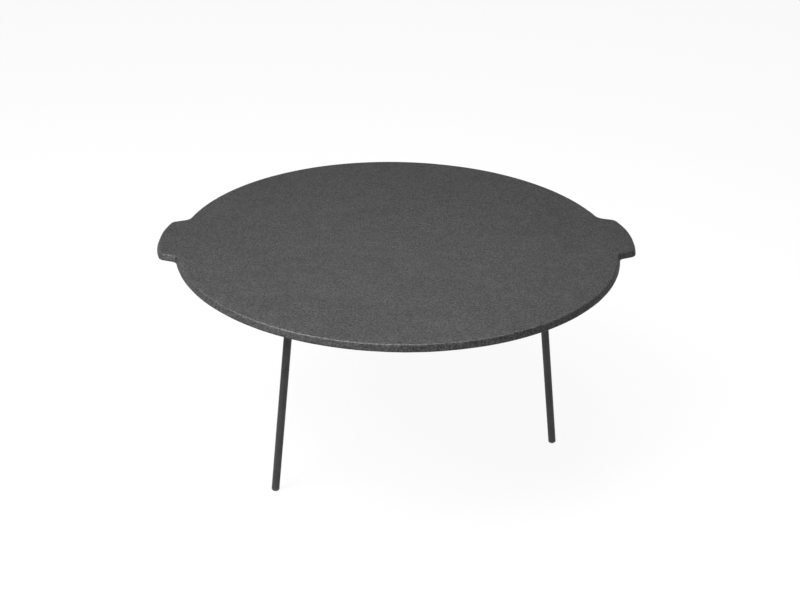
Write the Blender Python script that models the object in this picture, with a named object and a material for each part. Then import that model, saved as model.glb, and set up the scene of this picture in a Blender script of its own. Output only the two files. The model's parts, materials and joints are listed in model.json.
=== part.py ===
"""Round cast-iron griddle that stands over a fire on three screw-in rod legs.

The plate, its two ear handles and the three tapped bosses under it are one casting. Each leg is a round rod
with a thread on its top end, screwed into a boss along the leg's own splayed axis.

Frame: +Z up, the ground at Z = 0, the plate's centre on the Z axis, the handles on +X and -X.
"""

import math
from dataclasses import dataclass

import bmesh
import bpy
from mathutils import Matrix, Vector

MM = 0.001

# Plate
PLATE_DIAMETER = 450.0 * MM  # at its widest, just above the underside
PLATE_THICKNESS = 6.5 * MM
COOKING_HEIGHT = 226.5 * MM  # ground to the cooking face
RIM_DRAFT = math.radians(26.0)  # the rim's wall leans in towards the cooking face
TOP_EDGE_RADIUS = 1.8 * MM
UNDER_EDGE_RADIUS = 1.0 * MM

# Ear handles, as thick as the plate and level with its top
HANDLE_REACH = 19.0 * MM  # from the plate's edge to the tip of the ear
HANDLE_WIDTH = 95.0 * MM  # where the sides meet the plate's edge
HANDLE_TAPER = math.radians(20.0)  # each side leans in towards the tip
HANDLE_TIP_RADIUS = 125.0 * MM  # the long arc of the tip
HANDLE_CORNER_RADIUS = 9.0 * MM
HANDLE_ROOT_RADIUS = 9.0 * MM
HANDLE_AZIMUTHS = (0.0, math.pi)

# Legs
LEG_NAMES = ("leg_rear", "leg_front_left", "leg_front_right")
LEG_FIRST_AZIMUTH = math.radians(104.0)
LEG_CIRCLE_RADIUS = 146.0 * MM  # leg axes at the plate's underside
LEG_SPLAY = math.radians(8.1)  # outwards from the vertical
LEG_DIAMETER = 8.0 * MM
FOOT_CHAMFER = 1.2 * MM

# Screw joint of each leg: a coarse thread on the rod's end in a blind tapped hole
THREAD_PITCH = 1.25 * MM
THREAD_SHOWN = 3.0 * MM  # thread left below the boss
THREAD_RUN_OUT = 0.8 * MM
THREAD_CLEARANCE = 0.4 * MM  # from the stud's pitch cylinder to the hole's wall
STUD_END_GAP = 0.5 * MM
STUD_CHAMFER = 1.0 * MM

# Bosses
BOSS_DIAMETER = 23.0 * MM  # at the open end
BOSS_LENGTH = 15.0 * MM  # along the leg's axis, from the plate's underside
BOSS_DRAFT = math.radians(4.0)
HOLE_FLOOR = 3.5 * MM  # metal left between the drill point and the cooking face
DRILL_POINT_ANGLE = math.radians(118.0)

# Facets
ARC_TOLERANCE = 0.06 * MM  # how far a facet may lie inside its arc
ROUND_SIDES = 32
EDGE_STEPS = 3
SMOOTH_ANGLE = math.radians(35.0)

# Sizes that follow from the ones above
PLATE_RADIUS = PLATE_DIAMETER / 2
LEG_RADIUS = LEG_DIAMETER / 2
UNDERSIDE_HEIGHT = COOKING_HEIGHT - PLATE_THICKNESS
STUD_RADIUS = (LEG_DIAMETER - 0.6495 * THREAD_PITCH) / 2  # pitch radius of a metric thread
HOLE_RADIUS = STUD_RADIUS + THREAD_CLEARANCE
DRILL_POINT_LENGTH = HOLE_RADIUS / math.tan(DRILL_POINT_ANGLE / 2)
HOLE_END = BOSS_LENGTH + (PLATE_THICKNESS - HOLE_FLOOR) / math.cos(LEG_SPLAY)
HOLE_DEPTH = HOLE_END - DRILL_POINT_LENGTH  # at full diameter, from the boss's open end
STUD_LENGTH = HOLE_DEPTH - STUD_END_GAP  # inside the hole
MOUTH_RADIUS = LEG_CIRCLE_RADIUS + BOSS_LENGTH * math.sin(LEG_SPLAY)
MOUTH_HEIGHT = UNDERSIDE_HEIGHT - BOSS_LENGTH * math.cos(LEG_SPLAY)
FOOT_DROP = (LEG_RADIUS - FOOT_CHAMFER) * math.sin(LEG_SPLAY)
LEG_BELOW_MOUTH = (MOUTH_HEIGHT - FOOT_DROP) / math.cos(LEG_SPLAY)

# Finishes: base colour, roughness, metallic
IRON_FINISH = ((0.075, 0.075, 0.077, 1.0), 0.62, 0.55)
LEG_FINISH = ((0.045, 0.045, 0.047, 1.0), 0.55, 0.45)


@dataclass(frozen=True)
class Arc:
    """An arc of the outline. Its angles are those of the outward normal; a hollow arc has a radius below 0."""

    centre: Vector
    radius: float
    start: float
    end: float

    def point(self, angle, inset):
        """The outline's point with this outward normal, moved inwards by inset."""
        return self.centre + (self.radius - inset) * Vector((math.cos(angle), math.sin(angle)))

    def angles(self):
        """Normal angles along the arc, close enough to keep every facet within the tolerance."""
        widest = 2 * math.acos(1 - ARC_TOLERANCE / abs(self.radius))
        steps = 2 * max(1, math.ceil(abs(self.end - self.start) / (2 * widest)))
        return [self.start + (self.end - self.start) * i / steps for i in range(steps + 1)]

    def mirrored(self):
        """The same arc on the other side of the X axis, run the other way."""
        centre = Vector((self.centre.x, -self.centre.y))
        return Arc(centre, self.radius, -self.end, -self.start)

    def turned(self, angle):
        """The arc turned about the plate's centre."""
        centre = self.centre.copy()
        centre.rotate(Matrix.Rotation(angle, 2))
        return Arc(centre, self.radius, self.start + angle, self.end + angle)


def handle_side():
    """Arcs of the ear on +X from the middle of its tip round to the plate's own edge."""
    along = Vector((math.cos(HANDLE_TAPER), -math.sin(HANDLE_TAPER)))
    out = Vector((math.sin(HANDLE_TAPER), math.cos(HANDLE_TAPER)))
    out_angle = math.atan2(out.y, out.x)
    half = HANDLE_WIDTH / 2
    side_start = Vector((math.sqrt(PLATE_RADIUS**2 - half**2), half))
    side_offset = out.dot(side_start)

    tip_centre = Vector((PLATE_RADIUS + HANDLE_REACH - HANDLE_TIP_RADIUS, 0.0))
    lift = side_offset - HANDLE_CORNER_RADIUS - out.dot(tip_centre)
    reach = math.sqrt((HANDLE_TIP_RADIUS - HANDLE_CORNER_RADIUS) ** 2 - lift**2)
    corner_centre = tip_centre + lift * out + reach * along
    corner_angle = math.atan2(corner_centre.y - tip_centre.y, corner_centre.x - tip_centre.x)

    lift = side_offset + HANDLE_ROOT_RADIUS
    reach = math.sqrt((PLATE_RADIUS + HANDLE_ROOT_RADIUS) ** 2 - lift**2)
    root_centre = lift * out + reach * along
    root_angle = math.atan2(root_centre.y, root_centre.x)

    return [
        Arc(tip_centre, HANDLE_TIP_RADIUS, 0.0, corner_angle),
        Arc(corner_centre, HANDLE_CORNER_RADIUS, corner_angle, out_angle),
        Arc(root_centre, -HANDLE_ROOT_RADIUS, out_angle, root_angle),
    ]


def outline_arcs():
    """The plate's whole outline, anticlockwise from one ear's root."""
    side = handle_side()
    ear = [arc.mirrored() for arc in reversed(side)] + side
    rim_start = side[-1].end
    arcs = []
    for azimuth in HANDLE_AZIMUTHS:
        arcs += [arc.turned(azimuth) for arc in ear]
        arcs.append(Arc(Vector((0.0, 0.0)), PLATE_RADIUS, azimuth + rim_start, azimuth + math.pi - rim_start))
    return arcs


def outline(arcs, inset, height):
    """One ring of points at this height, without the point that two touching arcs share."""
    ring = []
    for arc in arcs:
        for angle in arc.angles():
            flat = arc.point(angle, 0.0)
            if not ring or (flat - ring[-1][0]).length > ARC_TOLERANCE:
                ring.append((flat, arc.point(angle, inset)))
    if (ring[0][0] - ring[-1][0]).length <= ARC_TOLERANCE:
        ring.pop()
    return [Vector((point.x, point.y, height)) for _, point in ring]


def circle(radius, height):
    """One ring of points round the Z axis."""
    turns = [2 * math.pi * i / ROUND_SIDES for i in range(ROUND_SIDES)]
    return [Vector((radius * math.cos(a), radius * math.sin(a), height)) for a in turns]


def rounded_edge(inset, height, radius, start, end):
    """(inset, height) pairs along a rounded edge about its centre, between two angles of the outward normal."""
    turns = [start + (end - start) * i / EDGE_STEPS for i in range(EDGE_STEPS + 1)]
    return [(inset - radius * math.cos(a), height + radius * math.sin(a)) for a in turns]


def rim_section():
    """(inset, height) pairs of the rim, from the underside up to the cooking face."""
    low = UNDERSIDE_HEIGHT + UNDER_EDGE_RADIUS
    high = COOKING_HEIGHT - TOP_EDGE_RADIUS
    radii = UNDER_EDGE_RADIUS - TOP_EDGE_RADIUS
    lean_in = (high - low) * math.tan(RIM_DRAFT) + UNDER_EDGE_RADIUS - radii / math.cos(RIM_DRAFT)
    lower = rounded_edge(UNDER_EDGE_RADIUS, low, UNDER_EDGE_RADIUS, -math.pi / 2, RIM_DRAFT)
    return lower + rounded_edge(lean_in, high, TOP_EDGE_RADIUS, RIM_DRAFT, math.pi / 2)


def loft(name, rings, tip=None):
    """A closed mesh through rings listed from the lowest up, capped flat, or drawn to a tip at the top."""
    bm = bmesh.new()
    loops = [[bm.verts.new(point) for point in ring] for ring in rings]
    count = len(loops[0])
    for low, high in zip(loops, loops[1:]):
        for i in range(count):
            j = (i + 1) % count
            bm.faces.new((low[i], low[j], high[j], high[i]))
    bm.faces.new(reversed(loops[0]))
    if tip is None:
        bm.faces.new(loops[-1])
    else:
        apex = bm.verts.new(tip)
        for i in range(count):
            bm.faces.new((loops[-1][i], loops[-1][(i + 1) % count], apex))
    mesh = bpy.data.meshes.new(name)
    bm.to_mesh(mesh)
    bm.free()
    mesh.shade_smooth()
    mesh.set_sharp_from_angle(angle=SMOOTH_ANGLE)
    return mesh


def turned(name, profile, tip_height=None):
    """A round mesh about Z from (radius, height) pairs listed from the lowest up."""
    tip = None if tip_height is None else Vector((0.0, 0.0, tip_height))
    return loft(name, [circle(radius, height) for radius, height in profile], tip)


def add_object(name, mesh, parent=None):
    """A new object in the scene, placed by its parent if it has one."""
    piece = bpy.data.objects.new(name, mesh)
    bpy.context.scene.collection.objects.link(piece)
    piece.parent = parent
    return piece


def finish(name, look):
    """A plain surface: base colour, roughness, metallic."""
    colour, roughness, metallic = look
    material = bpy.data.materials.new(name)
    material.use_nodes = True
    shader = material.node_tree.nodes["Principled BSDF"]
    shader.inputs["Base Color"].default_value = colour
    shader.inputs["Roughness"].default_value = roughness
    shader.inputs["Metallic"].default_value = metallic
    return material


def clear_scene():
    """Removes every object that the scene starts with."""
    for piece in list(bpy.data.objects):
        bpy.data.objects.remove(piece)


def leg_seat(name, azimuth):
    """An empty at the middle of a boss's open end, its +Z along the leg's axis into the plate."""
    seat = add_object(f"{name}_seat", None)
    mouth = Vector((MOUTH_RADIUS, 0.0, MOUTH_HEIGHT))
    tilt = Matrix.Rotation(-LEG_SPLAY, 4, "Y")
    seat.matrix_world = Matrix.Rotation(azimuth, 4, "Z") @ Matrix.Translation(mouth) @ tilt
    return seat


def boss_mesh():
    """A boss, wider towards the plate by its draft, sunk halfway into the plate to join it."""
    sunk = BOSS_LENGTH + PLATE_THICKNESS / 2
    mouth = BOSS_DIAMETER / 2
    return turned("boss", [(mouth, 0.0), (mouth + sunk * math.tan(BOSS_DRAFT), sunk)])


def hole_mesh():
    """The blind hole as a solid, with a drill point, standing out of the boss's open end."""
    return turned(
        "tapped_hole",
        [(HOLE_RADIUS, -BOSS_LENGTH), (HOLE_RADIUS, HOLE_DEPTH)],
        tip_height=HOLE_END,
    )


def leg_mesh():
    """A rod with a chamfered foot and a thinner stud, made at the thread's pitch radius, on its top end."""
    foot = -LEG_BELOW_MOUTH
    return turned(
        "leg",
        [
            (LEG_RADIUS - FOOT_CHAMFER, foot),
            (LEG_RADIUS, foot + FOOT_CHAMFER),
            (LEG_RADIUS, -THREAD_SHOWN - THREAD_RUN_OUT),
            (STUD_RADIUS, -THREAD_SHOWN),
            (STUD_RADIUS, STUD_LENGTH - STUD_CHAMFER),
            (STUD_RADIUS - STUD_CHAMFER, STUD_LENGTH),
        ],
    )


def plate_mesh():
    """The plate with its ears: the outline drawn up through the rim's section."""
    arcs = outline_arcs()
    return loft("griddle_plate", [outline(arcs, inset, height) for inset, height in rim_section()])


def add_cut(target, name, tool, operation):
    """Joins a guide solid to the target or cuts it away, and hides the guide."""
    tool.hide_render = True
    tool.display_type = "WIRE"
    cut = target.modifiers.new(name, "BOOLEAN")
    cut.operation = operation
    cut.object = tool


def main():
    """Builds the casting and its legs."""
    clear_scene()
    plate = add_object("griddle_plate", plate_mesh())
    plate.data.materials.append(finish("cast_iron", IRON_FINISH))

    boss, hole, leg = boss_mesh(), hole_mesh(), leg_mesh()
    leg.materials.append(finish("leg_steel", LEG_FINISH))
    seats = []
    for index, name in enumerate(LEG_NAMES):
        seats.append(leg_seat(name, LEG_FIRST_AZIMUTH + 2 * math.pi * index / len(LEG_NAMES)))
        add_object(name, leg, parent=seats[-1])
    for name, seat in zip(LEG_NAMES, seats):
        add_cut(plate, f"{name} boss", add_object(f"{name}_boss", boss, parent=seat), "UNION")
    for name, seat in zip(LEG_NAMES, seats):
        add_cut(plate, f"{name} hole", add_object(f"{name}_hole", hole, parent=seat), "DIFFERENCE")


main()
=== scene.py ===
"""Looks of a round cast-iron griddle on three screw-in rod legs, with its studio and camera.

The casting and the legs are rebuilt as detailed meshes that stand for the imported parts. Everything is in
metres, +Z up, the ground at Z = 0 and the plate's centre on the Z axis.
"""

import json
import logging
import math
from collections.abc import Callable
from dataclasses import dataclass
from enum import Enum
from functools import cached_property

import bmesh
import bpy
import numpy as np
from mathutils import Matrix, Vector, noise
from mathutils.geometry import delaunay_2d_cdt


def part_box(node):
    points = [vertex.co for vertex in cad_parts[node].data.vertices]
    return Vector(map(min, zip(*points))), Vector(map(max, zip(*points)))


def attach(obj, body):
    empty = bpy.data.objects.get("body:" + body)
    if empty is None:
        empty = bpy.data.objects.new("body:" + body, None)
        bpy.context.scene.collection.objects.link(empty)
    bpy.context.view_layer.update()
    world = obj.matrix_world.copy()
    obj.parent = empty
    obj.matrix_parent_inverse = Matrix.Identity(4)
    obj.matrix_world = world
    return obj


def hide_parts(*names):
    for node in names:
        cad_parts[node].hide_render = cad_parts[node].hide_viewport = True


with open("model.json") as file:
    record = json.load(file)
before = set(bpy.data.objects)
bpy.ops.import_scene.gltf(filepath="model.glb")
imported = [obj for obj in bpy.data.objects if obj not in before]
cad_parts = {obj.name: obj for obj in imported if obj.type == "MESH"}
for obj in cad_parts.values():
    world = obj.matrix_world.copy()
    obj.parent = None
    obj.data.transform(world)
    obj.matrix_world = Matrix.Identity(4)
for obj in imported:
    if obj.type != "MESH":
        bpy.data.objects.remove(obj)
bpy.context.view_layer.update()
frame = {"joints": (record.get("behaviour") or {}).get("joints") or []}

LOG = logging.getLogger("griddle")
MM = 0.001
INSIDE_EDGES = 1  # the triangulator's option that keeps only what its edges enclose
MERGE_DISTANCE = 1e-7  # the triangulator joins points that are closer than this
BATCH = 2000  # points tested at once
# Vertex values that make the surface lighter: real wear, and along the rim's upper edge also a painted
# highlight.
WEAR_AND_HIGHLIGHT = "wear_and_painted_highlight"
PATTERN_COORDS = "pattern_coords"


class LightSide(Enum):
    """Where a softbox stands, as azimuth and elevation in degrees seen from the plate."""

    KEY = (208.0, 50.0)
    OVERHEAD = (290.0, 78.0)
    BEHIND = (80.0, 60.0)


def smooth_noise(point: Vector, size: float, seed: float) -> float:
    """Soft cloudy noise between 0 and 1.

    Args:
        point: Where it is read, in metres.
        size: Width of one cloud, in metres.
        seed: Picks one cloud pattern from many.

    Returns:
        The value there.
    """
    return 0.5 + 0.5 * max(-1.0, min(1.0, noise.noise(point / size + Vector((seed, 3.7 * seed, -seed)))))


@dataclass(frozen=True)
class Arc:
    """An arc of the plate's outline. Its angles are those of the outward normal.

    A hollow arc has a radius below 0.
    """

    centre: Vector
    radius: float
    start: float
    end: float

    def samples(self, spacing: float) -> list[tuple[Vector, Vector]]:
        """Even points along the arc, with its start and without its end.

        Args:
            spacing: Widest step between two points.

        Returns:
            Pairs of a point and its outward normal.
        """
        length = abs(self.radius * (self.end - self.start))
        steps = 2 * max(1, math.ceil(length / (2 * spacing)))
        pairs = []
        for i in range(steps):
            angle = self.start + (self.end - self.start) * i / steps
            normal = Vector((math.cos(angle), math.sin(angle)))
            pairs.append((self.centre + self.radius * normal, normal))
        return pairs

    def mirrored(self) -> "Arc":
        """The same arc on the other side of the X axis, run the other way."""
        return Arc(Vector((self.centre.x, -self.centre.y)), self.radius, -self.end, -self.start)

    def turned(self, angle: float) -> "Arc":
        """The arc turned by this angle about the plate's centre."""
        centre = self.centre.copy()
        centre.rotate(Matrix.Rotation(angle, 2))
        return Arc(centre, self.radius, self.start + angle, self.end + angle)


@dataclass(frozen=True)
class Outline:
    """The plate's outline seen from above: a circle with one ear on each side."""

    radius: float
    reach: float
    width: float = 95.0 * MM
    taper: float = math.radians(20.0)
    tip_radius: float = 125.0 * MM
    corner_radius: float = 9.0 * MM
    root_radius: float = 9.0 * MM
    spacing: float = 1.6 * MM

    def ear_side(self) -> list[Arc]:
        """The ear's tip, corner and root on the +Y side, in that order."""
        along = Vector((math.cos(self.taper), -math.sin(self.taper)))
        out = Vector((math.sin(self.taper), math.cos(self.taper)))
        out_angle = math.atan2(out.y, out.x)
        half = self.width / 2
        side_offset = out.dot(Vector((math.sqrt(self.radius**2 - half**2), half)))

        tip = Vector((self.radius + self.reach - self.tip_radius, 0.0))
        lift = side_offset - self.corner_radius - out.dot(tip)
        corner = tip + lift * out + math.sqrt((self.tip_radius - self.corner_radius) ** 2 - lift**2) * along
        corner_angle = math.atan2(corner.y - tip.y, corner.x - tip.x)

        lift = side_offset + self.root_radius
        root = lift * out + math.sqrt((self.radius + self.root_radius) ** 2 - lift**2) * along
        return [
            Arc(tip, self.tip_radius, 0.0, corner_angle),
            Arc(corner, self.corner_radius, corner_angle, out_angle),
            Arc(root, -self.root_radius, out_angle, math.atan2(root.y, root.x)),
        ]

    def samples(self) -> list[tuple[Vector, Vector]]:
        """Pairs of a point and its outward normal, once round anticlockwise."""
        side = self.ear_side()
        ear = [arc.mirrored() for arc in reversed(side)] + side
        rim_start = side[-1].end
        pairs = []
        for azimuth in (0.0, math.pi):
            for arc in ear:
                pairs += arc.turned(azimuth).samples(self.spacing)
            rim = Arc(Vector((0.0, 0.0)), self.radius, azimuth + rim_start, azimuth + math.pi - rim_start)
            pairs += rim.samples(self.spacing)
        return pairs


@dataclass(frozen=True)
class Seat:
    """Where one leg screws in: the middle of its boss's open end, with +Z along the leg into the plate."""

    name: str
    azimuth: float
    splay: float
    mouth_radius: float
    mouth_height: float

    @classmethod
    def of_joint(cls, joint: dict, circle_radius: float, boss_length: float, underside: float) -> "Seat":
        """Reads a seat from the joint along which its leg unscrews.

        Args:
            joint: The joint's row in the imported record.
            circle_radius: From the plate's centre to the leg's axis at the underside.
            boss_length: Along the leg's axis.
            underside: Height of the plate's underside.

        Returns:
            The seat.
        """
        axis = Vector(joint["axis"]).normalized()
        splay = math.acos(-axis.z)
        return cls(
            name=joint["child"],
            azimuth=math.atan2(axis.y, axis.x),
            splay=splay,
            mouth_radius=circle_radius + boss_length * math.sin(splay),
            mouth_height=underside - boss_length * math.cos(splay),
        )

    def matrix(self) -> Matrix:
        """The seat's place in the part's frame."""
        mouth = Matrix.Translation((self.mouth_radius, 0.0, self.mouth_height))
        tilt = Matrix.Rotation(-self.splay, 4, "Y")
        return Matrix.Rotation(self.azimuth, 4, "Z") @ mouth @ tilt


@dataclass(frozen=True)
class Thread:
    """A coarse metric thread: its pitch and where its flats and flanks lie within one turn."""

    pitch: float = 1.25 * MM
    rows: int = 12
    crest_share: float = 0.125
    root_share: float = 0.25

    def height(self, turn: float) -> float:
        """How high the ridge stands at this part of a turn, from 0 at the root to 1 at the crest."""
        away = abs(turn - math.floor(turn) - 0.5) * 2
        flank = 1 - self.crest_share - self.root_share
        return max(0.0, min(1.0, 1 - (away - self.crest_share) / flank))


class Shaper:
    """Collects the vertices and faces of one closed mesh, with the wear and painted highlight at each vertex.
    """

    def __init__(self) -> None:
        """Starts an empty mesh."""
        self.bm = bmesh.new()
        self.wear = self.bm.verts.layers.float.new(WEAR_AND_HIGHLIGHT)

    def vert(self, point: Vector, wear: float = 0.0) -> bmesh.types.BMVert:
        """Adds a vertex with its value of wear and painted highlight, from 0 to 1."""
        vert = self.bm.verts.new(point)
        vert[self.wear] = max(0.0, min(1.0, wear))
        return vert

    def band(self, low: list, high: list) -> None:
        """Joins two rings of vertices with faces."""
        count = len(low)
        for i in range(count):
            j = (i + 1) % count
            self.bm.faces.new((low[i], low[j], high[j], high[i]))

    def stack(self, rings: list[list]) -> None:
        """Joins a stack of rings, each to the next."""
        for low, high in zip(rings, rings[1:]):
            self.band(low, high)

    def cap(self, ring: list, centre: Vector, wear: float = 0.0) -> None:
        """Closes a ring with faces that meet in a point."""
        tip = self.vert(centre, wear)
        count = len(ring)
        for i in range(count):
            self.bm.faces.new((ring[i], ring[(i + 1) % count], tip))

    def finish(self, name: str, smooth_angle: float, place: Matrix, seed: float = 0.0) -> bpy.types.Object:
        """Makes the object, with all its faces turned outwards.

        Args:
            name: The piece's name.
            smooth_angle: Edges sharper than this stay sharp.
            place: Where the mesh, made in its own frame, goes in the part's frame.
            seed: Shifts the surface's pattern, so that like pieces differ.

        Returns:
            The object, linked to the scene.
        """
        bmesh.ops.recalc_face_normals(self.bm, faces=self.bm.faces)
        mesh = bpy.data.meshes.new(name)
        self.bm.to_mesh(mesh)
        self.bm.free()
        pattern = mesh.attributes.new(PATTERN_COORDS, "FLOAT_VECTOR", "POINT")
        spots = np.empty(3 * len(mesh.vertices), dtype=np.float32)
        mesh.vertices.foreach_get("co", spots)
        pattern.data.foreach_set("vector", spots + np.float32(seed))
        mesh.transform(place)
        mesh.shade_smooth()
        mesh.set_sharp_from_angle(angle=smooth_angle)
        piece = bpy.data.objects.new(name, mesh)
        bpy.context.scene.collection.objects.link(piece)
        return piece


@dataclass(frozen=True)
class Boss:
    """A tapped boss under the plate, square to its leg, with a soft fillet where it meets the plate."""

    mouth_radius: float = 11.5 * MM
    length: float = 15.0 * MM
    draft: float = math.radians(4.0)
    mouth_edge: float = 1.4 * MM
    fillet: float = 5.0 * MM
    hole_radius: float = 4.0 * MM
    groove: float = 0.32 * MM
    countersink: float = 0.9 * MM
    hole_end: float = 18.03 * MM
    drill_point: float = 2.4 * MM
    sides: int = 64
    mouth_steps: int = 4
    side_steps: int = 5
    fillet_steps: int = 8
    roughness: float = 0.22 * MM
    roughness_size: float = 6.0 * MM
    roughness_fade: float = 3.0 * MM
    thread: Thread = Thread()

    def turns(self) -> list[float]:
        """Angles of the vertices round the boss."""
        return [2 * math.pi * i / self.sides for i in range(self.sides)]

    def ring(self, shaper: Shaper, place: Matrix, radius: float, height: float, wear: float = 0.0) -> list:
        """A plain ring of vertices about the leg's axis."""
        return [
            shaper.vert(place @ Vector((radius * math.cos(a), radius * math.sin(a), height)), wear)
            for a in self.turns()
        ]

    def bore(self, shaper: Shaper, place: Matrix) -> list[list]:
        """The tapped hole, from its drill point out to the countersink.

        Args:
            shaper: The casting's mesh.
            place: The seat's place.

        Returns:
            The rings, deepest first. The drill point is closed.
        """
        depth = self.hole_end - self.drill_point
        rings = [self.ring(shaper, place, self.hole_radius, depth)]
        shaper.cap(rings[0], place @ Vector((0.0, 0.0, self.hole_end)))
        step = self.thread.pitch / self.thread.rows
        rows = int((depth - self.countersink) / step) - 1
        for row in range(1, rows):
            height = depth - row * step
            fade = min(1.0, row / self.thread.rows, (rows - row) / self.thread.rows)
            ring = []
            for a in self.turns():
                turn = height / self.thread.pitch - a / (2 * math.pi)
                radius = self.hole_radius + self.groove * fade * self.thread.height(turn)
                point = Vector((radius * math.cos(a), radius * math.sin(a), height))
                ring.append(shaper.vert(place @ point, 0.5))
            rings.append(ring)
        rings.append(self.ring(shaper, place, self.hole_radius, self.countersink, 0.5))
        rings.append(self.ring(shaper, place, self.hole_radius + self.countersink, 0.0, 0.6))
        return rings

    def side(
        self, shaper: Shaper, seat: Seat, underside: float, lift: Callable[[Vector], float]
    ) -> list[list]:
        """The boss's face, its drafted side and the fillet that runs out onto the plate.

        Args:
            shaper: The casting's mesh.
            seat: Where the leg screws in.
            underside: Height of the plate's underside.
            lift: How far the underside's waves rise at a point.

        Returns:
            The rings, from the face to the last one, which lies in the underside.
        """
        place = seat.matrix()
        rings = []
        for i in range(self.mouth_steps + 1):
            a = math.pi / 2 * i / self.mouth_steps
            radius = self.mouth_radius - self.mouth_edge * (1 - math.sin(a))
            rings.append(self.ring(shaper, place, radius, self.mouth_edge * (1 - math.cos(a)), 0.35))
        columns = [self.side_column(place, seat, a, underside, lift) for a in self.turns()]
        for row in zip(*columns):
            rings.append([shaper.vert(point) for point in row])
        return rings

    def side_column(
        self, place: Matrix, seat: Seat, turn: float, underside: float, lift: Callable[[Vector], float]
    ) -> list[Vector]:
        """Points up the boss's side and along its fillet at one angle round the leg's axis.

        Args:
            place: The seat's place.
            seat: Where the leg screws in.
            turn: The angle.
            underside: Height of the plate's underside.
            lift: How far the underside's waves rise at a point.

        Returns:
            The points, in the part's frame.
        """
        slope = math.tan(self.draft)
        lean = math.cos(turn) * math.sin(seat.splay)
        rise = underside - seat.mouth_height
        meet = (rise - self.mouth_radius * lean) / (math.cos(seat.splay) + slope * lean)

        def on_side(height: float) -> Vector:
            """The side's point at this height along the axis, with the roughness of the sand."""
            radius = self.mouth_radius + slope * height
            point = place @ Vector((radius * math.cos(turn), radius * math.sin(turn), height))
            fade = min(1.0, (height - self.mouth_edge) / self.roughness_fade)
            radius -= self.roughness * fade * smooth_noise(point, self.roughness_size, 5.0)
            return place @ Vector((radius * math.cos(turn), radius * math.sin(turn), height))

        start, corner = on_side(meet - self.fillet), on_side(meet)
        outward = place @ Vector((math.cos(turn), math.sin(turn), meet)) - place @ Vector((0.0, 0.0, meet))
        outward.z = 0.0
        end = corner + outward.normalized() * self.fillet
        end.z = underside + lift(end)
        straight = meet - self.fillet - self.mouth_edge
        steps = range(1, self.side_steps)
        points = [on_side(self.mouth_edge + straight * i / self.side_steps) for i in steps]
        for i in range(self.fillet_steps + 1):
            t = i / self.fillet_steps
            points.append(start * (1 - t) ** 2 + corner * (2 * t * (1 - t)) + end * t**2)
        return points


@dataclass(frozen=True)
class Chip:
    """A small knock out of the plate's upper edge."""

    azimuth: float
    width: float
    depth: float

    def at(self, point: Vector) -> float:
        """How much the knock adds to the edge's radius near this point."""
        away = (point - Vector((math.cos(self.azimuth), math.sin(self.azimuth))) * point.length).length
        return self.depth * math.exp(-((away / self.width) ** 2))


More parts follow.
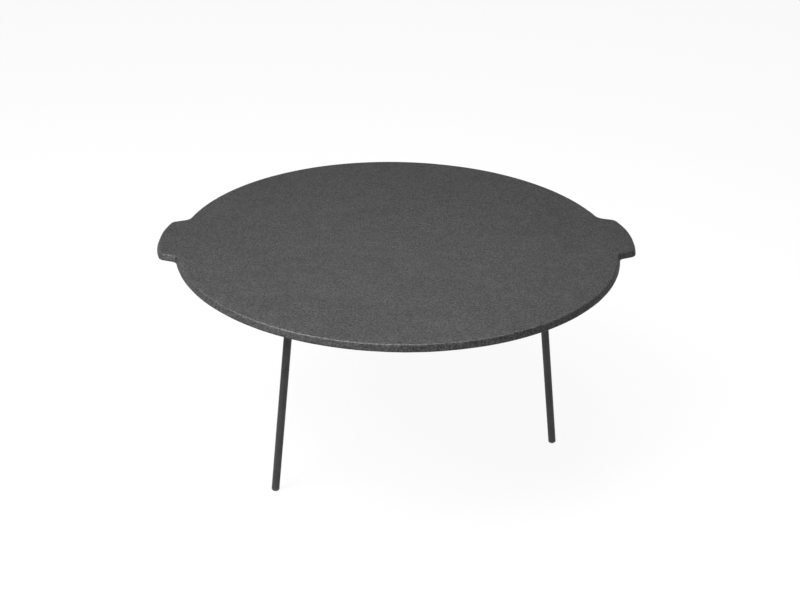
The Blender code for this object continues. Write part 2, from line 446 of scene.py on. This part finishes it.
@dataclass(frozen=True)
class GriddlePlate:
    """The casting: a flat round plate with two ears, and three tapped bosses under it."""

    node: str = "griddle_plate"
    body: str = "griddle"
    slot: str = "cast_iron"
    rim_draft: float = math.radians(26.0)
    top_edge: float = 1.2 * MM
    under_edge: float = 0.9 * MM
    thickness: float = 6.5 * MM
    leg_circle: float = 146.0 * MM
    # The rim's upper edge gets a painted highlight centred at this azimuth, on the front-left side that faces
    # the key light, fading over this spread.
    painted_highlight_azimuth: float = math.radians(234.0)
    painted_highlight_spread: float = math.radians(60.0)
    wall_wave: float = 0.22 * MM
    face_wave: float = 0.16 * MM
    grid: float = 4.2 * MM
    under_steps: int = 4
    wall_steps: int = 4
    top_steps: int = 6
    smooth_angle: float = math.radians(50.0)
    boss: Boss = Boss()
    chips: tuple[Chip, ...] = (
        Chip(math.radians(-42.5), 1.6 * MM, 1.3 * MM),
        Chip(math.radians(-40.2), 1.2 * MM, 0.9 * MM),
        Chip(math.radians(-44.6), 1.1 * MM, 0.8 * MM),
        Chip(math.radians(-118.0), 1.5 * MM, 0.6 * MM),
        Chip(math.radians(74.0), 2.2 * MM, 1.0 * MM),
        Chip(math.radians(152.0), 1.8 * MM, 0.8 * MM),
    )

    @cached_property
    def corner(self) -> Vector:
        """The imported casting's highest corner."""
        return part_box(self.node)[1]

    @property
    def top(self) -> float:
        """Height of the cooking face."""
        return self.corner.z

    @property
    def underside(self) -> float:
        """Height of the flat underside between the bosses."""
        return self.top - self.thickness

    def seats(self) -> list[Seat]:
        """The seats of the three legs, read from their joints."""
        return [
            Seat.of_joint(joint, self.leg_circle, self.boss.length, self.underside)
            for joint in frame["joints"]
        ]

    def top_drop(self, point: Vector) -> float:
        """How far the cooking face dips at this point below its highest level."""
        broad = smooth_noise(Vector((point.x, point.y, 0.0)), 75 * MM, 1.0)
        close = smooth_noise(Vector((point.x, point.y, 0.0)), 17 * MM, 2.0)
        return self.face_wave * (0.75 * broad + 0.25 * close)

    def under_lift(self, point: Vector) -> float:
        """How far the underside rises at this point above its lowest level."""
        broad = smooth_noise(Vector((point.x, point.y, 0.0)), 48 * MM, 3.0)
        close = smooth_noise(Vector((point.x, point.y, 0.0)), 11 * MM, 4.0)
        return 1.6 * self.face_wave * (0.6 * broad + 0.4 * close)

    def edge_rubbing_and_highlight(self, point: Vector) -> float:
        """How far the rim's upper edge is made lighter here: patches of real rubbing all round, and a painted
        highlight that is strongest on the front-left side, which faces the key light.
        """
        turn = math.atan2(point.y, point.x) - self.painted_highlight_azimuth
        turn = (turn + math.pi) % (2 * math.pi) - math.pi
        side = 0.12 + 0.88 * math.exp(-((turn / self.painted_highlight_spread) ** 2))
        return side * (0.35 + 0.9 * smooth_noise(point, 9 * MM, 9.0) * smooth_noise(point, 41 * MM, 10.0))

    def section(self, point: Vector) -> list[tuple[float, float, float]]:
        """The rim's section at one point of the outline, from the underside up to the cooking face.

        Args:
            point: The outline's point.

        Returns:
            Inset, height and the value of wear and painted highlight of each point of the section.
        """
        spot = Vector((point.x, point.y, 0.0))
        sink = self.wall_wave * smooth_noise(spot, 14 * MM, 6.0)
        upper = self.top_edge * (0.75 + 0.5 * smooth_noise(spot, 22 * MM, 7.0))
        upper += sum(chip.at(point) for chip in self.chips)
        lower = self.under_edge * (0.8 + 0.4 * smooth_noise(spot, 19 * MM, 8.0))
        lean = self.rim_draft
        low = self.underside + self.under_lift(spot) + lower
        high = self.top - self.top_drop(spot) - upper
        high_in = sink + lower + (high - low) * math.tan(lean) + (upper - lower) / math.cos(lean)
        # Lighter upper edge: a painted highlight on the side facing the key light, with some real rubbing.
        rubbed = self.edge_rubbing_and_highlight(spot)

        rows = []
        for i in range(self.under_steps + 1):
            a = -math.pi / 2 + (math.pi / 2 + lean) * i / self.under_steps
            rows.append((sink + lower - lower * math.cos(a), low + lower * math.sin(a), 0.1))
        low_row = rows[-1]
        arc = []
        for i in range(self.top_steps + 1):
            a = lean + (math.pi / 2 - lean) * i / self.top_steps
            arc.append((high_in - upper * math.cos(a), high + upper * math.sin(a), rubbed))
        for i in range(1, self.wall_steps):
            t = i / self.wall_steps
            inset = low_row[0] * (1 - t) + arc[0][0] * t
            rows.append((inset, low_row[1] * (1 - t) + arc[0][1] * t, 0.0))
        first, last = arc[0], arc[-1]
        arc[0] = (first[0], first[1], 0.3 * rubbed)
        arc[-1] = (last[0], last[1], 0.25 * rubbed)
        return rows + arc

    def rim(self, shaper: Shaper, pairs: list[tuple[Vector, Vector]]) -> list[list]:
        """The rim's rings, from the underside up to the cooking face.

        Args:
            shaper: The casting's mesh.
            pairs: The outline's points and normals.

        Returns:
            The rings of vertices.
        """
        columns = []
        for point, normal in pairs:
            column = []
            for inset, height, wear in self.section(point):
                flat = point - normal * inset
                column.append(shaper.vert(Vector((flat.x, flat.y, height)), wear))
            columns.append(column)
        rings = [list(ring) for ring in zip(*columns)]
        shaper.stack(rings)
        return rings

    def sheet(
        self,
        shaper: Shaper,
        outer: list,
        normals: list[Vector],
        holes: list[list],
        level: Callable[[Vector], float],
    ) -> None:
        """Fills the flat area between the rim and the bosses with even triangles.

        Args:
            shaper: The casting's mesh.
            outer: The ring of vertices round the sheet.
            normals: The outline's normals at those vertices.
            holes: Rings of vertices round the holes in the sheet.
            level: Height of the sheet at a point.
        """
        edge = np.array([vert.co.xy for vert in outer])
        away = np.array([normal[:] for normal in normals])
        grid = self.staggered(edge)
        inside = self.inside(grid, edge, away, 0.55 * self.grid)
        for ring in holes:
            inside &= self.clear_of(grid, ring, 0.5 * self.grid)
        verts = list(outer)
        loops = [range(len(outer))]
        for ring in holes:
            loops.append(range(len(verts), len(verts) + len(ring)))
            verts += ring
        edges = [(loop[i], loop[(i + 1) % len(loop)]) for loop in loops for i in range(len(loop))]
        for x, y in grid[inside]:
            spot = Vector((x, y, 0.0))
            verts.append(shaper.vert(Vector((x, y, level(spot)))))

        flat = [vert.co.xy for vert in verts]
        made = delaunay_2d_cdt(flat, edges, [], INSIDE_EDGES, MERGE_DISTANCE)
        origin = [ids[0] for ids in made[3]]
        hole_spots = [set(loop) for loop in loops[1:]]
        for corners in made[2]:
            spots = [origin[i] for i in corners]
            if not any(hole.issuperset(spots) for hole in hole_spots):
                shaper.bm.faces.new([verts[i] for i in spots])

    def staggered(self, edge: np.ndarray) -> np.ndarray:
        """Points in staggered rows over the whole outline, as an array of x and y."""
        low, high = edge.min(axis=0), edge.max(axis=0)
        pitch = self.grid * math.sqrt(3) / 2
        rows = []
        for row, y in enumerate(np.arange(low[1], high[1], pitch)):
            xs = np.arange(low[0] + (row % 2) * self.grid / 2, high[0], self.grid)
            rows.append(np.column_stack([xs, np.full(len(xs), y)]))
        return np.vstack(rows)

    @staticmethod
    def inside(points: np.ndarray, edge: np.ndarray, away: np.ndarray, margin: float) -> np.ndarray:
        """Which points lie inside the outline by more than the margin.

        Args:
            points: Points to test.
            edge: The outline's points.
            away: The outward normals at the outline's points.
            margin: How far inside they have to be.

        Returns:
            One truth value for each point.
        """
        result = np.empty(len(points), dtype=bool)
        for start in range(0, len(points), BATCH):
            part = points[start : start + BATCH]
            gap = part[:, None, :] - edge[None, :, :]
            near = (gap**2).sum(axis=2).argmin(axis=1)
            rows = np.arange(len(part))
            result[start : start + BATCH] = (gap[rows, near] * away[near]).sum(axis=1) < -margin
        return result

    @staticmethod
    def clear_of(points: np.ndarray, ring: list, margin: float) -> np.ndarray:
        """Which points lie outside a ring of vertices by more than the margin."""
        loop = np.array([vert.co.xy for vert in ring])
        centre = loop.mean(axis=0)
        spokes = loop - centre
        angles = np.arctan2(spokes[:, 1], spokes[:, 0])
        order = np.argsort(angles)
        reach = np.linalg.norm(spokes, axis=1)
        gap = points - centre
        turn = np.arctan2(gap[:, 1], gap[:, 0])
        limit = np.interp(turn, angles[order], reach[order], period=2 * math.pi)
        return np.linalg.norm(gap, axis=1) > limit + margin

    def build(self) -> bpy.types.Object:
        """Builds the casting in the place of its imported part.

        Returns:
            The casting.
        """
        outline = Outline(radius=self.corner.y, reach=self.corner.x - self.corner.y)
        shaper = Shaper()
        pairs = outline.samples()
        normals = [normal for _, normal in pairs]
        rings = self.rim(shaper, pairs)
        boss_rings = []
        for seat in self.seats():
            bore = self.boss.bore(shaper, seat.matrix())
            side = self.boss.side(shaper, seat, self.underside, self.under_lift)
            shaper.stack(bore + side)
            boss_rings.append(side[-1])
        self.sheet(shaper, rings[-1], normals, [], lambda spot: self.top - self.top_drop(spot))
        self.sheet(shaper, rings[0], normals, boss_rings, lambda spot: self.underside + self.under_lift(spot))
        piece = shaper.finish("griddle_casting", self.smooth_angle, Matrix.Identity(4))
        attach(piece, self.body)
        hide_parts(self.node)
        return piece


@dataclass(frozen=True)
class ScrewLeg:
    """A round steel rod with a cut thread on its top end and a chamfered foot."""

    seat: Seat
    slot: str = "leg_steel"
    radius: float = 4.0 * MM
    root_radius: float = 3.3 * MM
    crest_radius: float = 3.93 * MM
    stud_length: float = 15.13 * MM
    thread_shown: float = 3.0 * MM
    run_out: float = 0.8 * MM
    stud_chamfer: float = 0.9 * MM
    foot_chamfer: float = 1.2 * MM
    out_of_round: float = 0.07 * MM
    sides: int = 60
    ring_step: float = 5.0 * MM
    foot_ring_in: float = 1.2 * MM
    smooth_angle: float = math.radians(38.0)
    thread: Thread = Thread()

    def foot(self) -> float:
        """Height of the foot's face along the leg's axis, below the boss's open end."""
        drop = (self.radius - self.foot_chamfer) * math.sin(self.seat.splay)
        return -(self.seat.mouth_height - drop) / math.cos(self.seat.splay)

    def rod_rows(self) -> list[tuple[float, float, float]]:
        """Radius, height and wear of the plain rod's rings, from the foot up."""
        foot = self.foot()
        top = -self.thread_shown - self.run_out
        chamfer = self.foot_chamfer
        rows = [
            (self.radius - chamfer - self.foot_ring_in, foot, 0.5),
            (self.radius - chamfer, foot, 0.8),
            (self.radius - 0.08 * chamfer, foot + 0.9 * chamfer, 0.8),
            (self.radius, foot + 1.1 * chamfer, 0.5),
            (self.radius, foot + 2.5 * chamfer, 0.1),
        ]
        count = math.ceil((top - foot - 6 * chamfer) / self.ring_step)
        low, high = foot + 3.5 * chamfer, top - 0.6 * MM
        for i in range(count + 1):
            rows.append((self.radius, low + (high - low) * i / count, 0.0))
        rows.append((self.radius, top - 0.1 * MM, 0.3))
        rows.append((self.radius - 0.1 * MM, top, 0.7))
        return rows

    def rod_ring(self, shaper: Shaper, radius: float, height: float, wear: float) -> list:
        """A ring of the rod, a little out of round as rolled bar is."""
        ring = []
        for i in range(self.sides):
            a = 2 * math.pi * i / self.sides
            spot = Vector((math.cos(a) * 4 * MM, math.sin(a) * 4 * MM, height * 0.16))
            flat = self.out_of_round * smooth_noise(spot, 3.5 * MM, 11.0 + self.seat.azimuth)
            settled = 1.0 if height > self.foot() + 3 * self.foot_chamfer else 0.0
            reach = radius - flat * settled
            ring.append(shaper.vert(Vector((reach * math.cos(a), reach * math.sin(a), height)), wear))
        return ring

    def thread_rings(self, shaper: Shaper) -> list[list]:
        """The rings of the cut thread, from the run-out up to the chamfered end."""
        low = -self.thread_shown - self.run_out
        step = self.thread.pitch / self.thread.rows
        count = int((self.stud_length - low) / step)
        rings = []
        for row in range(1, count + 1):
            height = low + (self.stud_length - low) * row / count
            fade = min(1.0, (height - low) / self.run_out)
            cone = self.stud_length - height
            ring = []
            for i in range(self.sides):
                a = 2 * math.pi * i / self.sides
                ridge = self.thread.height(height / self.thread.pitch - i / self.sides)
                full = self.root_radius + (self.crest_radius - self.root_radius) * ridge
                reach = self.crest_radius + (full - self.crest_radius) * fade
                reach = min(reach, self.crest_radius - self.stud_chamfer + cone)
                point = Vector((reach * math.cos(a), reach * math.sin(a), height))
                ring.append(shaper.vert(point, 0.25 + 0.6 * ridge))
            rings.append(ring)
        return rings

    def build(self) -> bpy.types.Object:
        """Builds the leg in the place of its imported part.

        Returns:
            The leg.
        """
        shaper = Shaper()
        rings = [self.rod_ring(shaper, *row) for row in self.rod_rows()] + self.thread_rings(shaper)
        shaper.stack(rings)
        shaper.cap(rings[0], Vector((0.0, 0.0, self.foot())), 0.4)
        shaper.cap(rings[-1], Vector((0.0, 0.0, self.stud_length)), 0.4)
        name = f"{self.seat.name}_rod"
        piece = shaper.finish(name, self.smooth_angle, self.seat.matrix(), self.seat.azimuth)
        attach(piece, self.seat.name)
        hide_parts(self.seat.name)
        return piece


class NodeBench:
    """Adds and wires the nodes of one material."""

    def __init__(self, name: str) -> None:
        """Starts a material with its Principled shader.

        Args:
            name: The material's name.
        """
        self.material = bpy.data.materials.new(name)
        self.material.use_nodes = True
        self.tree = self.material.node_tree
        self.shader = self.tree.nodes["Principled BSDF"]
        spots = self.tree.nodes.new("ShaderNodeAttribute")
        spots.attribute_name = PATTERN_COORDS
        self.coords = spots.outputs["Vector"]

    def wire(self, source: bpy.types.NodeSocket, target: bpy.types.NodeSocket) -> None:
        """Links an output to an input."""
        self.tree.links.new(source, target)

    def stretched(self, scale: tuple[float, float, float]) -> bpy.types.NodeSocket:
        """The piece's own coordinates scaled along each axis."""
        node = self.tree.nodes.new("ShaderNodeMapping")
        node.inputs["Scale"].default_value = scale
        self.wire(self.coords, node.inputs["Vector"])
        return node.outputs["Vector"]

    def noise(
        self,
        size: float,
        detail: float = 2.0,
        roughness: float = 0.5,
        distortion: float = 0.0,
        vector: bpy.types.NodeSocket | None = None,
    ) -> bpy.types.NodeSocket:
        """Cloudy noise.

        Args:
            size: Width of one cloud, in metres.
            detail: How many finer layers it has.
            roughness: How strong the finer layers are.
            distortion: How far the clouds are stirred.
            vector: Where it is read, or the piece's own coordinates.

        Returns:
            The noise, around 0.5.
        """
        node = self.tree.nodes.new("ShaderNodeTexNoise")
        node.inputs["Scale"].default_value = 1 / size
        node.inputs["Detail"].default_value = detail
        node.inputs["Roughness"].default_value = roughness
        node.inputs["Distortion"].default_value = distortion
        self.wire(vector or self.coords, node.inputs["Vector"])
        return node.outputs["Fac"]

    def span(
        self, source: bpy.types.NodeSocket, low: float, high: float, to_low: float, to_high: float
    ) -> bpy.types.NodeSocket:
        """Maps one range of values onto another and clamps it there.

        Args:
            source: The value.
            low: Value that becomes to_low.
            high: Value that becomes to_high.
            to_low: Lowest result.
            to_high: Highest result.

        Returns:
            The mapped value.
        """
        node = self.tree.nodes.new("ShaderNodeMapRange")
        node.inputs["From Min"].default_value = low
        node.inputs["From Max"].default_value = high
        node.inputs["To Min"].default_value = to_low
        node.inputs["To Max"].default_value = to_high
        self.wire(source, node.inputs["Value"])
        return node.outputs["Result"]

    def math(
        self, operation: str, first: bpy.types.NodeSocket, second: bpy.types.NodeSocket | float
    ) -> bpy.types.NodeSocket:
        """Combines two values.

        Args:
            operation: Blender's name of the operation.
            first: The first value.
            second: The second value, a socket or a number.

        Returns:
            The result.
        """
        node = self.tree.nodes.new("ShaderNodeMath")
        node.operation = operation
        self.wire(first, node.inputs[0])
        if isinstance(second, float):
            node.inputs[1].default_value = second
        else:
            self.wire(second, node.inputs[1])
        return node.outputs[0]

    def shade(self, colour: tuple[float, float, float], factor: bpy.types.NodeSocket) -> bpy.types.NodeSocket:
        """A colour made lighter or darker by a factor around 1."""
        node = self.tree.nodes.new("ShaderNodeVectorMath")
        node.operation = "SCALE"
        node.inputs[0].default_value = colour
        self.wire(factor, node.inputs["Scale"])
        return node.outputs["Vector"]

    def blend(
        self, factor: bpy.types.NodeSocket, first: bpy.types.NodeSocket, second: bpy.types.NodeSocket
    ) -> bpy.types.NodeSocket:
        """Goes from the first colour to the second as the factor goes from 0 to 1."""
        node = self.tree.nodes.new("ShaderNodeMix")
        node.data_type = "RGBA"
        self.wire(factor, node.inputs[0])
        self.wire(first, node.inputs[6])
        self.wire(second, node.inputs[7])
        return node.outputs[2]

    def attribute(self, name: str) -> bpy.types.NodeSocket:
        """A value kept at the mesh's vertices."""
        node = self.tree.nodes.new("ShaderNodeAttribute")
        node.attribute_name = name
        return node.outputs["Fac"]

    def bump(self, layers: list[tuple[bpy.types.NodeSocket, float]]) -> None:
        """Gives the surface relief.

        Args:
            layers: Heights from 0 to 1, each with its depth in metres.
        """
        normal = None
        for height, depth in layers:
            node = self.tree.nodes.new("ShaderNodeBump")
            node.inputs["Distance"].default_value = depth
            self.wire(height, node.inputs["Height"])
            if normal is not None:
                self.wire(normal, node.inputs["Normal"])
            normal = node.outputs["Normal"]
        self.wire(normal, self.shader.inputs["Normal"])


@dataclass(frozen=True)
class CastIron:
    """Bare grey iron as it comes from the sand: a fine grain, soft darker clouds, edges rubbed bright, and a
    painted highlight along the rim's upper edge on its front-left side.
    """

    name: str = "cast_iron"
    base: tuple[float, float, float] = (0.048, 0.048, 0.048)
    # Lighter colour of rubbed iron in the bores and at the bosses' mouths, also used for the painted
    # highlight along the rim's upper edge.
    rubbed: tuple[float, float, float] = (0.095, 0.095, 0.095)
    metallic: float = 0.35
    grain: float = 1.7 * MM
    clouds: float = 34.0 * MM
    patches: float = 105.0 * MM
    specks: float = 2.4 * MM

    def make(self) -> bpy.types.Material:
        """Builds the material.

        Returns:
            The material.
        """
        bench = NodeBench(self.name)
        grain = bench.noise(self.grain, detail=3.0, roughness=0.62)
        coarse = bench.noise(4 * self.grain, detail=2.0)
        clouds = bench.noise(self.clouds, detail=4.0, roughness=0.6, distortion=0.5)
        patches = bench.noise(self.patches, detail=3.0, roughness=0.5, distortion=0.8)
        specks = bench.span(bench.noise(self.specks, detail=0.0), 0.76, 0.82, 0.0, 1.0)
        worn = bench.attribute(WEAR_AND_HIGHLIGHT)

        factor = bench.span(grain, 0.36, 0.64, 0.38, 1.62)
        factor = bench.math("MULTIPLY", factor, bench.span(coarse, 0.35, 0.65, 0.93, 1.07))
        factor = bench.math("MULTIPLY", factor, bench.span(clouds, 0.3, 0.7, 0.93, 1.08))
        factor = bench.math("MULTIPLY", factor, bench.span(patches, 0.3, 0.7, 0.94, 1.05))
        factor = bench.math("ADD", factor, bench.math("MULTIPLY", specks, 0.5))
        # Where the vertices are marked, the colour goes lighter: real wear at the bosses, and a painted
        # highlight along the rim's upper edge.
        wear = bench.math("MULTIPLY", worn, bench.span(grain, 0.3, 0.65, 0.35, 1.0))
        colour = bench.blend(wear, bench.shade(self.base, factor), bench.shade(self.rubbed, factor))
        bench.wire(colour, bench.shader.inputs["Base Color"])

        rough = bench.span(clouds, 0.3, 0.7, 0.66, 0.56)
        rough = bench.math("SUBTRACT", rough, bench.math("MULTIPLY", wear, 0.18))
        bench.wire(rough, bench.shader.inputs["Roughness"])
        bench.shader.inputs["Metallic"].default_value = self.metallic
        bench.bump([(coarse, 0.14 * MM), (grain, 0.07 * MM)])
        return bench.material


@dataclass(frozen=True)
class BlackenedSteel:
    """Hot-rolled bar with its dark scale, rubbed through on the thread's crests and at the foot."""

    name: str = "leg_steel"
    base: tuple[float, float, float] = (0.048, 0.048, 0.049)
    rubbed: tuple[float, float, float] = (0.2, 0.2, 0.2)
    metallic: float = 0.4
    grain: float = 0.9 * MM
    streak: float = 3.0 * MM

    def make(self) -> bpy.types.Material:
        """Builds the material.

        Returns:
            The material.
        """
        bench = NodeBench(self.name)
        along = bench.stretched((1.0, 1.0, 0.08))
        grain = bench.noise(self.grain, detail=3.0, roughness=0.6)
        streaks = bench.noise(self.streak, detail=3.0, vector=along)
        scale = bench.noise(6 * self.streak, detail=4.0, roughness=0.65, distortion=0.4)
        worn = bench.attribute(WEAR_AND_HIGHLIGHT)

        factor = bench.span(grain, 0.25, 0.75, 0.8, 1.2)
        factor = bench.math("MULTIPLY", factor, bench.span(streaks, 0.3, 0.7, 0.88, 1.14))
        factor = bench.math("MULTIPLY", factor, bench.span(scale, 0.3, 0.7, 0.88, 1.1))
        wear = bench.math("MULTIPLY", worn, bench.span(grain, 0.3, 0.65, 0.4, 1.0))
        colour = bench.blend(wear, bench.shade(self.base, factor), bench.shade(self.rubbed, factor))
        bench.wire(colour, bench.shader.inputs["Base Color"])

        rough = bench.span(scale, 0.3, 0.7, 0.62, 0.5)
        rough = bench.math("SUBTRACT", rough, bench.math("MULTIPLY", wear, 0.15))
        bench.wire(rough, bench.shader.inputs["Roughness"])
        bench.shader.inputs["Metallic"].default_value = self.metallic
        bench.bump([(streaks, 0.06 * MM), (grain, 0.05 * MM)])
        return bench.material


@dataclass(frozen=True)
class PalePaper:
    """The studio's pale paper, lit evenly enough to look plain. Seen from below it isn't there."""

    name: str = "pale_paper"
    glow: float = 0.94
    tint: float = 0.07

    def make(self) -> bpy.types.Material:
        """Builds the material.

        Returns:
            The material.
        """
        bench = NodeBench(self.name)
        tree = bench.tree
        bench.shader.inputs["Base Color"].default_value = (self.tint, self.tint, self.tint, 1.0)
        bench.shader.inputs["Roughness"].default_value = 1.0
        bench.shader.inputs["Specular IOR Level"].default_value = 0.0
        bench.shader.inputs["Emission Color"].default_value = (1.0, 1.0, 1.0, 1.0)
        bench.shader.inputs["Emission Strength"].default_value = self.glow
        side = tree.nodes.new("ShaderNodeNewGeometry").outputs["Backfacing"]
        clear = tree.nodes.new("ShaderNodeBsdfTransparent")
        mix = tree.nodes.new("ShaderNodeMixShader")
        bench.wire(side, mix.inputs[0])
        bench.wire(bench.shader.outputs[0], mix.inputs[1])
        bench.wire(clear.outputs[0], mix.inputs[2])
        bench.wire(mix.outputs[0], tree.nodes["Material Output"].inputs["Surface"])
        return bench.material


@dataclass(frozen=True)
class Softbox:
    """A square softbox that faces the plate."""

    side: LightSide
    distance: float
    size: float
    power: float

    def hang(self, target: Vector) -> bpy.types.Object:
        """Hangs the light and turns it to the target.

        Args:
            target: What it lights.

        Returns:
            The light.
        """
        azimuth, elevation = (math.radians(angle) for angle in self.side.value)
        level = math.cos(elevation)
        away = Vector((level * math.cos(azimuth), level * math.sin(azimuth), math.sin(elevation)))
        data = bpy.data.lights.new(self.side.name.lower(), "AREA")
        data.size = self.size
        data.energy = self.power
        light = bpy.data.objects.new(data.name, data)
        light.location = target + away * self.distance
        light.rotation_euler = away.to_track_quat("Z", "Y").to_euler()
        light.visible_camera = False
        bpy.context.scene.collection.objects.link(light)
        return light


@dataclass(frozen=True)
class Studio:
    """Pale floor, white surroundings and soft lights."""

    floor_radius: float = 6.0
    dome_radius: float = 5.9
    white: float = 1.0
    ambient: float = 0.02
    softboxes: tuple[Softbox, ...] = (
        Softbox(LightSide.KEY, 1.7, 1.0, 44.0),
        Softbox(LightSide.OVERHEAD, 0.8, 0.5, 5.8),
        Softbox(LightSide.BEHIND, 1.2, 0.8, 2.2),
    )

    def floor(self) -> bpy.types.Object:
        """The round floor, as a flat disc at the height of the feet."""
        bm = bmesh.new()
        bmesh.ops.create_circle(bm, cap_ends=True, segments=96, radius=self.floor_radius)
        return self.add("studio_floor", bm, PalePaper().make())

    def dome(self) -> bpy.types.Object:
        """White surroundings that only the camera sees, so that they light nothing."""
        bm = bmesh.new()
        bmesh.ops.create_icosphere(bm, subdivisions=4, radius=self.dome_radius)
        material = bpy.data.materials.new("white_surroundings")
        material.use_nodes = True
        tree = material.node_tree
        glow = tree.nodes.new("ShaderNodeEmission")
        glow.inputs["Color"].default_value = (self.white, self.white, self.white, 1.0)
        tree.links.new(glow.outputs[0], tree.nodes["Material Output"].inputs["Surface"])
        dome = self.add("studio_surroundings", bm, material)
        dome.visible_diffuse = False
        dome.visible_glossy = False
        dome.visible_transmission = False
        dome.visible_shadow = False
        return dome

    @staticmethod
    def add(name: str, bm: bmesh.types.BMesh, material: bpy.types.Material) -> bpy.types.Object:
        """Adds a piece of the stage."""
        mesh = bpy.data.meshes.new(name)
        bm.to_mesh(mesh)
        bm.free()
        mesh.materials.append(material)
        piece = bpy.data.objects.new(name, mesh)
        bpy.context.scene.collection.objects.link(piece)
        return piece

    def set_up(self, target: Vector) -> None:
        """Builds the stage and its lights.

        Args:
            target: What the lights face.
        """
        world = bpy.data.worlds.new("studio")
        world.use_nodes = True
        backing = world.node_tree.nodes["Background"]
        backing.inputs["Color"].default_value = (1.0, 1.0, 1.0, 1.0)
        backing.inputs["Strength"].default_value = self.ambient
        bpy.context.scene.world = world
        bpy.context.scene.view_settings.view_transform = "Standard"
        self.floor()
        self.dome()
        for softbox in self.softboxes:
            softbox.hang(target)


@dataclass(frozen=True)
class StudioCamera:
    """The camera, placed by the way it looks at the middle of the cooking face."""

    distance: float = 1.0423
    elevation: float = math.radians(27.6)
    azimuth: float = math.radians(-3.68)
    roll: float = math.radians(1.208)
    shift_right: float = 3.1 * MM
    shift_up: float = -65.8 * MM
    focal_length: float = 45.67
    sensor_width: float = 36.0

    def set_up(self, target: Vector) -> bpy.types.Object:
        """Adds the camera and makes it the scene's own.

        Args:
            target: The middle of the cooking face.

        Returns:
            The camera.
        """
        data = bpy.data.cameras.new("camera")
        data.lens = self.focal_length
        data.sensor_width = self.sensor_width
        camera = bpy.data.objects.new("camera", data)
        bpy.context.scene.collection.objects.link(camera)

        right = Vector((1.0, 0.0, 0.0))
        forward = Vector((0.0, math.cos(self.elevation), -math.sin(self.elevation)))
        up = right.cross(forward)
        eye = -self.distance * forward + self.shift_right * right + self.shift_up * up
        axes = Matrix((right, up, -forward)).transposed().to_4x4()
        placed = Matrix.Translation(eye) @ axes @ Matrix.Rotation(self.roll, 4, "Z")
        camera.matrix_world = Matrix.Translation(target) @ Matrix.Rotation(self.azimuth, 4, "Z") @ placed
        bpy.context.scene.camera = camera
        return camera


def main() -> None:
    """Builds the griddle, its legs, the stage and the camera."""
    logging.basicConfig(level=logging.INFO, format="%(message)s")
    iron = CastIron().make()
    steel = BlackenedSteel().make()

    plate = GriddlePlate()
    casting = plate.build()
    casting.data.materials.append(iron)
    LOG.info("%s: %d faces", casting.name, len(casting.data.polygons))
    for seat in plate.seats():
        leg = ScrewLeg(seat).build()
        leg.data.materials.append(steel)
        LOG.info("%s: %d faces", leg.name, len(leg.data.polygons))

    middle = Vector((0.0, 0.0, plate.top))
    Studio().set_up(middle)
    StudioCamera().set_up(middle)
    LOG.info("stage, lights and camera")


if __name__ == "__main__":
    main()
